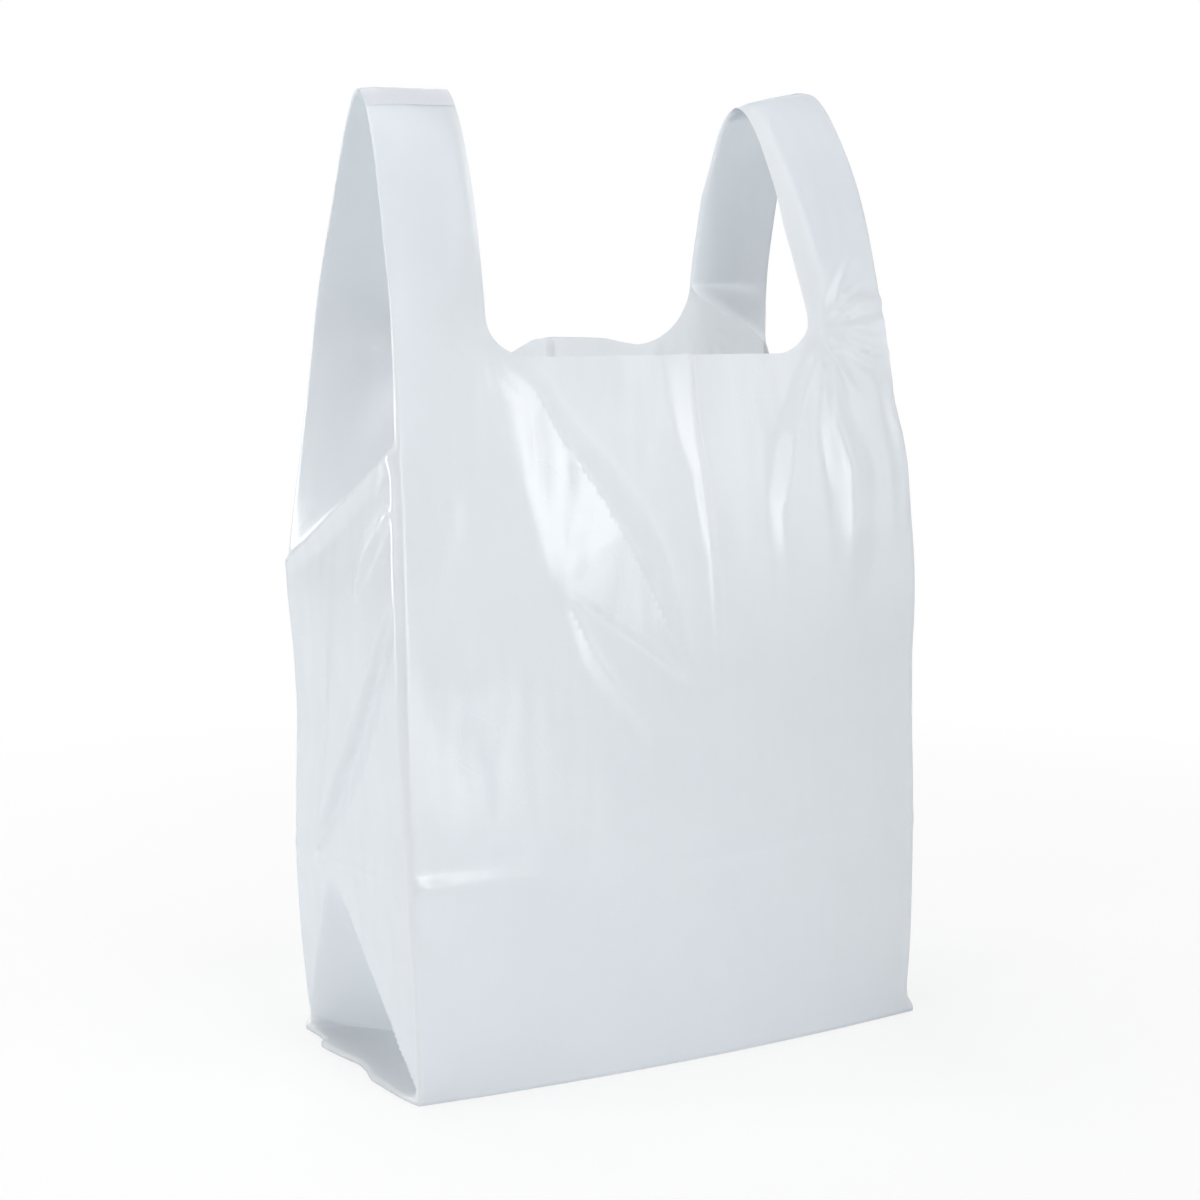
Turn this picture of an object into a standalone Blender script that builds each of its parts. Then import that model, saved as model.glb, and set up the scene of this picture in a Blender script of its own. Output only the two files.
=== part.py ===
"""Plastic carrier bag with two strap handles, standing open. One tube of thin film makes it all.

A place on the film is given by the panel it is on, the distance across that panel, and the
distance up from the floor edge. The tube has a front panel, a back panel, and two side panels
with a fold down their middle. One U-shaped stamp takes the mouth out of every layer at once,
and what it leaves on each side is a handle: two layers at the front that run over the top and
come down as two layers at the back.
"""

import math

import bmesh
import bpy
from mathutils import Vector

# The film as it is cut, in metres
WIDTH = 0.280            # front or back panel, from fold to fold
GUSSET = 0.065           # half of a side panel, from its outer fold to its middle fold
RIM = 0.341              # floor edge to the bottom of the stamped mouth
STRAP_WIDTH = 0.050      # outer fold to the stamped edge
CUT_RADIUS = 0.020       # rounded corners of the stamp
WALL = 0.0005            # film thickness, thickened to a wall that can be handled

# The bag as it stands
SHOULDER = 0.190         # height where the body starts to lean in towards its handles
BACK_SHOULDER = 0.235    # the same at the left back fold, which has a sharp corner there
LEFT_TOP = 0.460         # height of the left handle
RIGHT_TOP = 0.471        # height of the right handle, at its outer fold
RIGHT_TILT = 0.008       # its stamped edge hangs this much lower there
LEFT_LEAN = -0.002       # how far behind the middle of the bag each handle's top is
RIGHT_LEAN = 0.032
TOP_INSET = 0.003        # the handles' tops lie this far inside the width
PLY_GAP = 0.0025         # between the two layers of a strap
FOLD_BEND = 0.003        # width of film that turns round an outer fold
BEND_TURN = 0.7          # share of that width taken up by the turn itself

# The floor of the bag
FLAP = 0.0022            # height of the folded film that lies flat at each end
FOOT = 0.008             # film between the floor edge and the first row of the walls
FOOT_HEIGHT = 0.0030     # height at which a side panel rises from its flap
FLAP_RUN = 0.012         # a side panel drops to that height over this much film from a fold
SINK_REACH = 0.040       # film over which it comes back to the height of the other panels
FLOOR_FLARE = 0.002      # how far the floor's ends stand outside the film's width
SEAM_LIFT = 0.001        # the welded seam under the floor stands off the ground by this
FRONT_BULGE = 0.008      # the front panel is pushed out by this at its foot
BACK_BULGE = 0.004       # the same for the back panel

# Folds that the film has taken
HOLLOW_DEPTH = 0.034     # how far a side panel is tucked in at its foot
HOLLOW_TOP = 0.088       # height at which that tuck ends
HOLLOW_SHIFT = 0.022     # the tuck's point lies this far behind the middle
RIDGE_FRONT = 0.300      # height where a side panel turns inward, at its front fold
RIDGE_BACK = 0.238       # the same at its back fold
RIDGE_SLOPE = 1.0        # inward travel for each unit of height above the ridge
CREASE_HEIGHT = 0.100    # old packing crease that runs round the body
CREASE_DEPTH = 0.0015
CREASE_REACH = 0.012     # it rises from the plain film over this height
CREASE_END = 0.020       # and on a side panel it fades out this near an outer fold
CREASE_FACE_END = 0.33   # on a face it fades where the bulge is under this share of its full height
DRAPE_END_WIDTH = 0.35   # share of a drape fold's width that is left at its two ends
DRAPE_END = 0.25         # share of the way to its widest place over which it rises
SLOT_CLOSE = 0.060       # length over which a strap's inner layer comes to lie on the outer one

# Rows and columns of the mesh
STRAP_COLUMNS = 4
MOUTH_COLUMNS = 16
LOW_ROWS = 7             # from the foot to the packing crease
BODY_ROWS = 17           # from there to the rim
STRAP_ROWS = 12
CURVE_STEPS = 48
MERGE = 0.00002          # points nearer than this are one
TINY = 1e-6

FILM_COLOUR = (0.80, 0.84, 0.88, 1.0)
FILM_ROUGHNESS = 0.35

STRAP_FILM = 0.140       # nominal film from the rim to the top of a handle
TOP = RIM + STRAP_FILM
SIDE_SIGN = {"left": -1.0, "right": 1.0}
FACE_SIGN = {"front": -1.0, "back": 1.0}

# Each upright fold. `foot` is how far out of half the width it starts, and `bow` bends its
# lower part outward. `shoulder` and `rise` are (outward in x, inward from the gusset's depth),
# with the height between the two. `over` is (outward in x, away from the handle's top in y).
FOLDS = {
    ("left", "front"): {
        "foot": 0.0, "bow": 0.001, "shoulder": (0.0055, 0.001), "height": SHOULDER,
        "rise": (0.004, 0.003), "climb": 0.080, "over": (-0.005, 0.018),
    },
    ("left", "back"): {
        "foot": -0.003, "bow": 0.0025, "shoulder": (0.009, 0.003), "height": BACK_SHOULDER,
        "rise": (0.005, 0.011), "climb": 0.070, "over": (-0.005, 0.022),
    },
    ("right", "front"): {
        "foot": -0.001, "bow": 0.0015, "shoulder": (0.001, 0.001), "height": SHOULDER,
        "rise": (0.005, -0.001), "climb": 0.080, "over": (0.002, 0.038),
    },
    ("right", "back"): {
        "foot": -0.001, "bow": 0.0, "shoulder": (-0.002, -0.001), "height": SHOULDER,
        "rise": (0.001, -0.011), "climb": 0.110, "over": (-0.001, 0.040),
    },
}

# Creases and drape folds in the front panel, from the rim down: start and end of the crest as
# (x from the middle, height), width of the slope on its left and on its right, where along the
# crest these are widest, and how far it stands out there
FRONT_FOLDS = (
    ((-0.082, 0.339), (0.015, 0.184), 0.036, 0.024, 0.60, 0.0075),
    ((0.022, 0.344), (0.027, 0.184), 0.013, 0.012, 0.05, 0.0030),
    ((0.098, 0.346), (0.062, 0.215), 0.013, 0.017, 0.40, 0.0030),
    ((0.104, 0.346), (0.106, 0.206), 0.014, 0.016, 0.45, 0.0035),
)


def remove_objects():
    for item in list(bpy.data.objects):
        bpy.data.objects.remove(item, do_unlink=True)


def mix(a, b, share):
    return a + (b - a) * share


def smooth(value):
    value = min(max(value, 0.0), 1.0)
    return value * value * (3.0 - 2.0 * value)


def bezier(start, out, back, end, t):
    u = 1.0 - t
    return start * u ** 3 + out * (3 * u * u * t) + back * (3 * u * t * t) + end * t ** 3


def fold_path(side, face):
    """Points up one outer fold, from the floor to the top of its handle."""
    shape = FOLDS[side, face]
    out, away = SIDE_SIGN[side], FACE_SIGN[face]
    half = WIDTH / 2
    top_height, lean = (LEFT_TOP, LEFT_LEAN) if side == "left" else (RIGHT_TOP, RIGHT_LEAN)
    height = shape["height"]
    shoulder = Vector((out * (half + shape["shoulder"][0]), away * (GUSSET - shape["shoulder"][1]), height))
    foot_x = out * (half + shape["foot"])
    path = []
    for step in range(CURVE_STEPS):
        share = step / CURVE_STEPS
        bow = out * shape["bow"] * math.sin(math.pi * share)
        path.append(Vector((
            mix(foot_x, shoulder.x, share) + bow,
            mix(away * GUSSET, shoulder.y, share),
            height * share,
        )))
    rise_x, rise_y = shape["rise"]
    over_x, over_y = shape["over"]
    rise = Vector((out * (half + rise_x), away * (GUSSET - rise_y), height + shape["climb"]))
    over = Vector((out * (half + over_x), lean + away * over_y, top_height))
    top = Vector((out * (half - TOP_INSET), lean, top_height))
    path += [bezier(shoulder, rise, over, top, step / CURVE_STEPS) for step in range(CURVE_STEPS + 1)]
    return path


def measured(path):
    """The path with the length of film up to each of its points."""
    lengths = [0.0]
    for low, high in zip(path, path[1:]):
        lengths.append(lengths[-1] + (high - low).length)
    return lengths, path


PATHS = {key: measured(fold_path(*key)) for key in FOLDS}


def on_fold(side, face, up):
    """Place on an outer fold, and the direction into the handle's loop there."""
    lengths, path = PATHS[side, face]
    length = up if up <= RIM else mix(RIM, lengths[-1], (up - RIM) / STRAP_FILM)
    index = 1
    while index < len(lengths) - 1 and lengths[index] < length:
        index += 1
    share = (length - lengths[index - 1]) / (lengths[index] - lengths[index - 1])
    place = path[index - 1].lerp(path[index], min(share, 1.0))
    if up >= TOP - TINY:
        return place, Vector((0.0, 0.0, -1.0))
    along = path[index] - path[index - 1]
    inward = Vector((0.0, -FACE_SIGN[face] * along.z, FACE_SIGN[face] * along.y))
    return place, inward.normalized()


def drape(x, z, fold):
    """Height of one drape fold at a place on the front panel."""
    (x0, z0), (x1, z1), left_width, right_width, widest, height = fold
    run = Vector((x1 - x0, z1 - z0))
    along = ((x - x0) * run.x + (z - z0) * run.y) / run.length_squared
    if not 0.0 < along < 1.0:
        return 0.0
    off = ((x - x0) * run.y - (z - z0) * run.x) / run.length
    spread = along / widest if along < widest else (1.0 - along) / (1.0 - widest)
    width = (left_width if off > 0.0 else right_width) * mix(DRAPE_END_WIDTH, 1.0, spread)
    return height * smooth(1.0 - abs(off) / width) * smooth(spread / DRAPE_END)


def crease(z):
    return CREASE_DEPTH * smooth(1.0 - abs(z - CREASE_HEIGHT) / CREASE_REACH)


def handle_tilt(across, up):
    """How much lower the right handle hangs here than at its outer fold."""
    if across < WIDTH / 2:
        return 0.0
    return RIGHT_TILT * smooth((up - RIM) / STRAP_FILM) * min((WIDTH - across) / STRAP_WIDTH, 1.0)


def panel_place(face, across, up):
    share = across / WIDTH
    left, _ = on_fold("left", face, up)
    right, _ = on_fold("right", face, up)
    place = left.lerp(right, share)
    edge = 1.0 - (2.0 * share - 1.0) ** 2
    lower = 1.0 - smooth((place.z - CREASE_HEIGHT) / (BACK_SHOULDER - CREASE_HEIGHT))
    out = (FRONT_BULGE if face == "front" else BACK_BULGE) * edge * lower
    if face == "front":
        out += sum(drape(place.x, place.z, fold) for fold in FRONT_FOLDS)
    out += crease(place.z) * smooth(edge / CREASE_FACE_END)
    place.y += FACE_SIGN[face] * out
    place.z -= handle_tilt(across, up)
    return place


def tuck(y, z):
    """How far a side panel is pushed in near the floor, under the slanted edges of its tuck."""
    front_side = y + GUSSET - z * (GUSSET + HOLLOW_SHIFT) / HOLLOW_TOP
    back_side = GUSSET - y - z * (GUSSET - HOLLOW_SHIFT) / HOLLOW_TOP
    return min(max(min(front_side, back_side), 0.0), HOLLOW_DEPTH)


def side_place(side, across, up):
    inward = Vector((-SIDE_SIGN[side], 0.0, 0.0))
    front, front_in = on_fold(side, "front", up)
    back, back_in = on_fold(side, "back", up)
    share = across / (2.0 * GUSSET)
    from_fold = min(across, 2.0 * GUSSET - across)
    half_depth = (back.y - front.y) / 2.0
    opened = front.lerp(back, share)
    fold_in = math.sqrt(max(GUSSET ** 2 - half_depth ** 2, 0.0)) * from_fold / GUSSET
    above = max(opened.z - mix(RIDGE_FRONT, RIDGE_BACK, share), 0.0)
    in_by = min(fold_in, RIDGE_SLOPE * above)
    if up > FLAP:
        sink = (FOOT - FOOT_HEIGHT) * max(1.0 - (up - FOOT) / SINK_REACH, 0.0)
        opened.z -= sink * min(from_fold / FLAP_RUN, 1.0)
        in_by += tuck(opened.y, opened.z - FOOT_HEIGHT)
        in_by -= crease(opened.z) * min(from_fold / CREASE_END, 1.0)
    opened += inward * in_by
    if up <= RIM:
        return opened
    face, loop_in = ("front", front_in) if across < GUSSET else ("back", back_in)
    beside = max(from_fold - FOLD_BEND * BEND_TURN, 0.0)
    layer = panel_place(face, beside if side == "left" else WIDTH - beside, up)
    layer += loop_in * PLY_GAP * min(from_fold / FOLD_BEND, 1.0)
    return opened.lerp(layer, smooth((up - RIM) / SLOT_CLOSE) if from_fold else 0.0)


def stamped(from_edge, up):
    """Moves a place on the stamped outline to the rounded corner of the stamp."""
    if from_edge >= STRAP_WIDTH + CUT_RADIUS or up >= RIM + CUT_RADIUS:
        return from_edge, up
    off_x = from_edge - STRAP_WIDTH - CUT_RADIUS
    off_y = up - RIM - CUT_RADIUS
    scale = CUT_RADIUS / math.hypot(off_x, off_y)
    return STRAP_WIDTH + CUT_RADIUS + off_x * scale, RIM + CUT_RADIUS + off_y * scale


def spaced(start, end, count):
    return [mix(start, end, step / count) for step in range(1, count + 1)]


def panel_columns():
    mouth_end = WIDTH - STRAP_WIDTH
    columns = [0.0] + spaced(0.0, STRAP_WIDTH, STRAP_COLUMNS)
    columns += spaced(STRAP_WIDTH, mouth_end, MOUTH_COLUMNS)
    return columns + spaced(mouth_end, WIDTH, STRAP_COLUMNS)


def side_columns():
    half = [0.0, FOLD_BEND] + spaced(FOLD_BEND, STRAP_WIDTH, STRAP_COLUMNS) + [GUSSET]
    return half + [2.0 * GUSSET - column for column in reversed(half[:-1])]


def film_rows():
    rows = [0.0, FLAP, FOOT] + spaced(FOOT, CREASE_HEIGHT, LOW_ROWS)
    return rows + spaced(CREASE_HEIGHT, RIM, BODY_ROWS) + spaced(RIM, TOP, STRAP_ROWS)


def ring_columns():
    """Every column round the tube: the panel, the distance across it, and its nearest fold."""
    ring = []
    for face, side, across_from in (("front", "right", 0.0), ("back", "left", 1.0)):
        for column in panel_columns()[:-1]:
            across = column if face == "front" else WIDTH - column
            ring.append((face, across, min(column, WIDTH - column)))
        for column in side_columns()[:-1]:
            across = column if side == "right" else 2.0 * GUSSET - column
            ring.append((side, across, min(column, 2.0 * GUSSET - column)))
    return ring


def flared(panel, across, place):
    """Draws the floor's edge out to a full rectangle, wider than the walls that stand in it."""
    end = WIDTH / 2 + FLOOR_FLARE
    if panel in SIDE_SIGN:
        place.x = SIDE_SIGN[panel] * end
    else:
        place.x = mix(-end, end, across / WIDTH)
    return place


def film_place(panel, across, from_edge, up):
    cut_edge = from_edge >= STRAP_WIDTH - TINY and up >= RIM - TINY
    if cut_edge:
        half = GUSSET if panel in SIDE_SIGN else WIDTH / 2
        moved, up = stamped(from_edge, up)
        across += (min(moved, half) - from_edge) * (1.0 if across < half else -1.0)
    place = side_place(panel, across, up) if panel in SIDE_SIGN else panel_place(panel, across, up)
    return flared(panel, across, place) if up <= FLAP else place


def stamped_out(first, second, low_row):
    """Whether the stamp takes out the film between two columns above a row."""
    inside = min(first[2], second[2]) >= STRAP_WIDTH - TINY
    return inside and low_row >= RIM - TINY


def add_walls(mesh, ring, rows):
    """The tube from the floor edge to the tops of the handles. Returns its lowest row."""
    grid = []
    for up in rows:
        line = []
        for panel, across, from_edge in ring:
            gone = from_edge > STRAP_WIDTH + TINY and up > RIM + TINY
            line.append(None if gone else mesh.verts.new(film_place(panel, across, from_edge, up)))
        grid.append(line)
    for low in range(len(rows) - 1):
        for column in range(len(ring)):
            following = (column + 1) % len(ring)
            if stamped_out(ring[column], ring[following], rows[low]):
                continue
            below, above = grid[low], grid[low + 1]
            mesh.faces.new((below[column], below[following], above[following], above[column]))
    return grid[0]


def add_floor(mesh, edge):
    """The floor inside the lowest row, with the welded seam along its middle."""
    wide, deep = len(panel_columns()) - 1, len(side_columns()) - 1
    front = edge[:wide + 1]
    right = edge[wide:wide + deep + 1]
    back = list(reversed(edge[wide + deep:wide + deep + wide + 1]))
    left = [front[0]] + list(reversed(edge[wide + deep + wide:]))
    lines = [front]
    for j in range(1, deep):
        line = [left[j]]
        share = side_columns()[j] / (2.0 * GUSSET)
        for i in range(1, wide):
            place = front[i].co.lerp(back[i].co, share)
            clear_of_flaps = abs(place.x) < WIDTH / 2 - 2.0 * HOLLOW_DEPTH
            place.z = SEAM_LIFT if j * 2 == deep and clear_of_flaps else 0.0
            line.append(mesh.verts.new(place))
        lines.append(line + [right[j]])
    lines.append(back)
    for low, high in zip(lines, lines[1:]):
        for i in range(wide):
            mesh.faces.new((low[i], high[i], high[i + 1], low[i + 1]))


def film_material():
    material = bpy.data.materials.new("white_film")
    material.use_nodes = True
    shader = material.node_tree.nodes["Principled BSDF"]
    shader.inputs["Base Color"].default_value = FILM_COLOUR
    shader.inputs["Roughness"].default_value = FILM_ROUGHNESS
    shader.inputs["Metallic"].default_value = 0.0
    return material


def centre_on_floor(shape):
    """Puts the origin under the middle of the bag's box."""
    for axis in (0, 1):
        reach = [vert.co[axis] for vert in shape.verts]
        middle = (min(reach) + max(reach)) / 2
        for vert in shape.verts:
            vert.co[axis] -= middle


def make_bag():
    shape = bmesh.new()
    edge = add_walls(shape, ring_columns(), film_rows())
    add_floor(shape, edge)
    bmesh.ops.remove_doubles(shape, verts=shape.verts, dist=MERGE)
    centre_on_floor(shape)
    mesh = bpy.data.meshes.new("carrier_bag")
    shape.to_mesh(mesh)
    shape.free()
    mesh.materials.append(film_material())
    bag = bpy.data.objects.new("carrier_bag", mesh)
    bpy.context.scene.collection.objects.link(bag)
    wall = bag.modifiers.new("film", "SOLIDIFY")
    wall.thickness = WALL
    wall.offset = -1.0
    wall.use_even_offset = False
    return bag


remove_objects()
make_bag()
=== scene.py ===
import math

import bmesh
import bpy
import numpy as np
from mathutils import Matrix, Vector


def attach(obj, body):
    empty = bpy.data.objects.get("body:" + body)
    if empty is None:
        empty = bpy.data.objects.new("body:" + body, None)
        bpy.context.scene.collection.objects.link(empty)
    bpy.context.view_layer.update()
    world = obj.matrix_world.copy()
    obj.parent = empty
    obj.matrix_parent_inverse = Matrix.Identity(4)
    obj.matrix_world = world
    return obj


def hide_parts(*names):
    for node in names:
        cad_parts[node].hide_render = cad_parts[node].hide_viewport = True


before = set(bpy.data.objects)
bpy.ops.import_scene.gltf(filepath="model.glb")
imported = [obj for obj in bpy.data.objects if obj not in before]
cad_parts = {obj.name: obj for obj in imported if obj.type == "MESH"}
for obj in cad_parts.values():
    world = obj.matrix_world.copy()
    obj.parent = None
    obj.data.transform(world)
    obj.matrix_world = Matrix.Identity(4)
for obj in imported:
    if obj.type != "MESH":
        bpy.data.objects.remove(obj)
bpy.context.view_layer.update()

# The film tube. A vest carrier is one blown tube of white high-density polyethylene film, folded
# in at both sides, welded across and stamped once through all its layers. It stands open here,
# with its floor pulled square, so this one sheet is the front, the back, both sides and the floor.

WIDTH = 0.280            # front or back panel, from fold to fold
GUSSET = 0.065           # half of a side panel
RIM = 0.341              # floor edge to the bottom of the stamped mouth
STRAP_WIDTH = 0.050      # outer fold to the stamped edge of the front and back strips
INNER_WIDTH = 0.0455     # the same on the side layers, which slipped a little under the stamp
CUT_RADIUS = 0.020       # corners of the stamped mouth
BACK_RADIUS = 0.034      # the stretched corner of the mouth at the foot of the right back strap
STRAP_FILM = 0.140       # nominal film from the rim to the top of a handle
TOP = RIM + STRAP_FILM
CENTRE = (-0.0030050, -0.0016755)    # middle of the part's box, which is its origin

SHOULDER = 0.190         # height at which an outer fold starts to lean inward
BACK_SHOULDER = 0.235    # the same on the left back fold
LEFT_TOP, LEFT_LEAN = 0.460, -0.002      # a handle's top, and how far behind the middle it is
RIGHT_TOP, RIGHT_LEAN = 0.471, 0.032
RIGHT_TILT = 0.008       # the stamped edge of the right handle hangs this much lower at the top
TOP_INSET = 0.003
PLY_GAP = 0.0012         # between the two layers of a strap
PLY_START = 0.0015       # width beside the outer fold where they part
SLOT_CLOSE = {"left": 0.060, "right": 0.034}    # film over which the inner layer comes to the outer

FLAP = 0.0022            # height of the folded film that lies flat at each end of the floor
FOOT = 0.008             # film from the floor's edge to the foot of the walls
FOOT_HEIGHT = 0.0030
FOOT_REACH = 0.040       # film over which the walls come down to that height
FOOT_SIDE = 0.012        # and the width over which they do it beside an outer fold
SEAM_LIFT = 0.001        # the floor arches this much over the fin of the bottom weld
SEAM_REACH = 0.008
SEAM_RAMP = 0.003
FRONT_BULGE = 0.008      # how far the middle of the front swells
HOLLOW_DEPTH = 0.034     # how far a side panel is tucked in at its foot
HOLLOW_TOP = 0.088       # height of the tuck's point
HOLLOW_SHIFT = 0.022     # how far the point is behind the middle
TUCK_SOFT = 0.012        # how gently its two slopes meet
RIDGE_FRONT, RIDGE_BACK = 0.300, 0.238   # height from which a side panel folds inward
CREASE_HEIGHT = 0.100    # the packing crease
CREASE_DEPTH = 0.0009
CREASE_REACH = 0.006

SIDE_SIGN = {"left": -1.0, "right": 1.0}
FACE_SIGN = {"front": -1.0, "back": 1.0}

# Each upright fold: (foot, bow, shoulder out, shoulder in, shoulder height, rise out, rise in,
# climb, over out, over away), as the part's source has them.
UPRIGHTS = {
    ("left", "front"): (0.0, 0.001, 0.0055, 0.001, SHOULDER, 0.004, 0.003, 0.080, -0.005, 0.018),
    ("left", "back"): (-0.003, 0.0025, 0.009, 0.003, BACK_SHOULDER, 0.005, 0.011, 0.070, -0.005, 0.022),
    ("right", "front"): (-0.001, 0.0015, 0.001, 0.001, SHOULDER, 0.005, -0.001, 0.080, 0.002, 0.038),
    ("right", "back"): (-0.001, 0.0, -0.002, -0.001, SHOULDER, 0.001, -0.011, 0.110, -0.001, 0.038),
}

# How far each fold wanders outward on its way up, as (height, distance) in millimetres.
WANDER = {
    ("left", "front"): ((0, 0), (60, -0.5), (150, 1.4), (235, 2.4), (295, 1.0), (330, -0.2),
                        (390, -1.0), (440, -0.8), (470, 0)),
    ("left", "back"): ((0, 0), (15, 2.0), (50, 2.8), (90, 2.2), (140, -1.4), (165, -3.0), (195, -2.2),
                       (225, 0.4), (240, 0.6), (255, 0.5), (280, 0.2), (330, -0.8), (370, 0.3),
                       (410, -0.6), (470, 0)),
    ("right", "front"): ((0, 0), (40, 1.6), (75, 1.2), (105, 0.9), (150, -0.6), (190, -0.8), (240, 0.8),
                         (262, 0.3), (290, 1.6), (306, -1.8), (330, -1.6), (372, -0.8), (400, 1.0),
                         (425, 1.4), (450, 0), (480, 0)),
    ("right", "back"): ((0, 0), (90, 1.0), (150, -0.8), (240, 1.2), (300, -0.8), (335, -2.0), (378, -2.8),
                        (400, -1.0), (425, 0.6), (445, 2.0), (460, 1.0), (480, 0)),
}
PATH_STEPS = 400         # points along each half of a fold's path
PATH_SOFT = 31           # points over which its wander is smoothed
RIGHT_SAG = 0.005        # the right side panel's rim hangs this much lower than the rest
RIGHT_BACK_SAG = 0.0127  # and this much in its back half

# The back panel's rim isn't held straight: (distance across, rise above the front one) in mm.
BACK_RIM = ((0, 0), (94, 0), (104, -1.6), (112, -3.2), (120, 0.8), (128, 5.0), (140, 6.2), (160, 5.4),
            (173, 4.6), (184, 2.2), (193, 0.8), (203, 1.4), (215, 1.0), (230, 0), (280, 0))

# The right handle's strips are pulled askew: (film height, added width) in mm.
SKEW = {
    "front": ((341, 0), (352, -2.4), (366, -1.6), (384, 0.6), (405, 3.0), (440, 2.4), (481, 0)),
    "back": ((341, 1.0), (352, 2.6), (385, 3.8), (425, 5.0), (448, 3.0), (481, 0)),
    "right": ((341, -16), (360, -13), (390, -7), (420, -3), (450, 0), (481, 0)),
}


def smooth(value):
    """0 below 0, 1 above 1, and a soft rise between."""
    value = np.clip(value, 0.0, 1.0)
    return value * value * (3.0 - 2.0 * value)


def upright(side, face):
    """Points up one outer fold, the film's length to each, and the direction of travel there."""
    foot, bow, out, inward, height, rise_out, rise_in, climb, over_out, over_away = UPRIGHTS[side, face]
    sx, sy, half = SIDE_SIGN[side], FACE_SIGN[face], WIDTH / 2
    top_height, lean = (LEFT_TOP, LEFT_LEAN) if side == "left" else (RIGHT_TOP, RIGHT_LEAN)
    shoulder = np.array((sx * (half + out), sy * (GUSSET - inward), height))
    start = np.array((sx * (half + foot), sy * GUSSET, 0.0))
    t = np.linspace(0.0, 1.0, PATH_STEPS)[:, None]
    low = start + (shoulder - start) * t
    low[:, 0] += sx * bow * np.sin(math.pi * t[:, 0])
    rise = np.array((sx * (half + rise_out), sy * (GUSSET - rise_in), height + climb))
    over = np.array((sx * (half + over_out), lean + sy * over_away, top_height))
    top = np.array((sx * (half - TOP_INSET), lean, top_height))
    u = 1.0 - t
    high = shoulder * u ** 3 + rise * (3 * u * u * t) + over * (3 * u * t * t) + top * t ** 3
    points = np.concatenate((low[:-1], high))
    wander = np.array(WANDER[side, face]) / 1000.0
    points[:, 0] += sx * np.interp(points[:, 2], wander[:, 0], wander[:, 1])
    soft = np.ones(PATH_SOFT) / PATH_SOFT
    side_ends = PATH_SOFT // 2
    points[side_ends:-side_ends, 0] = np.convolve(points[:, 0], soft, mode="valid")
    steps = np.linalg.norm(np.diff(points, axis=0), axis=1)
    lengths = np.concatenate(((0.0,), np.cumsum(steps)))
    return lengths, points, np.gradient(points, axis=0)


UPRIGHT_PATHS = {key: upright(*key) for key in UPRIGHTS}


def on_upright(side, face, up):
    """Places on an outer fold at the film heights `up`, and the directions into the loop."""
    lengths, points, travel = UPRIGHT_PATHS[side, face]
    length = np.where(up <= RIM, up, RIM + (lengths[-1] - RIM) * (up - RIM) / STRAP_FILM)
    place = np.stack([np.interp(length, lengths, points[:, axis]) for axis in range(3)], axis=-1)
    along = np.stack([np.interp(length, lengths, travel[:, axis]) for axis in range(3)], axis=-1)
    turned = FACE_SIGN[face]
    inward = np.stack((0.0 * length, -turned * along[..., 2], turned * along[..., 1]), axis=-1)
    return place, inward / np.linalg.norm(inward, axis=-1, keepdims=True)


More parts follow.
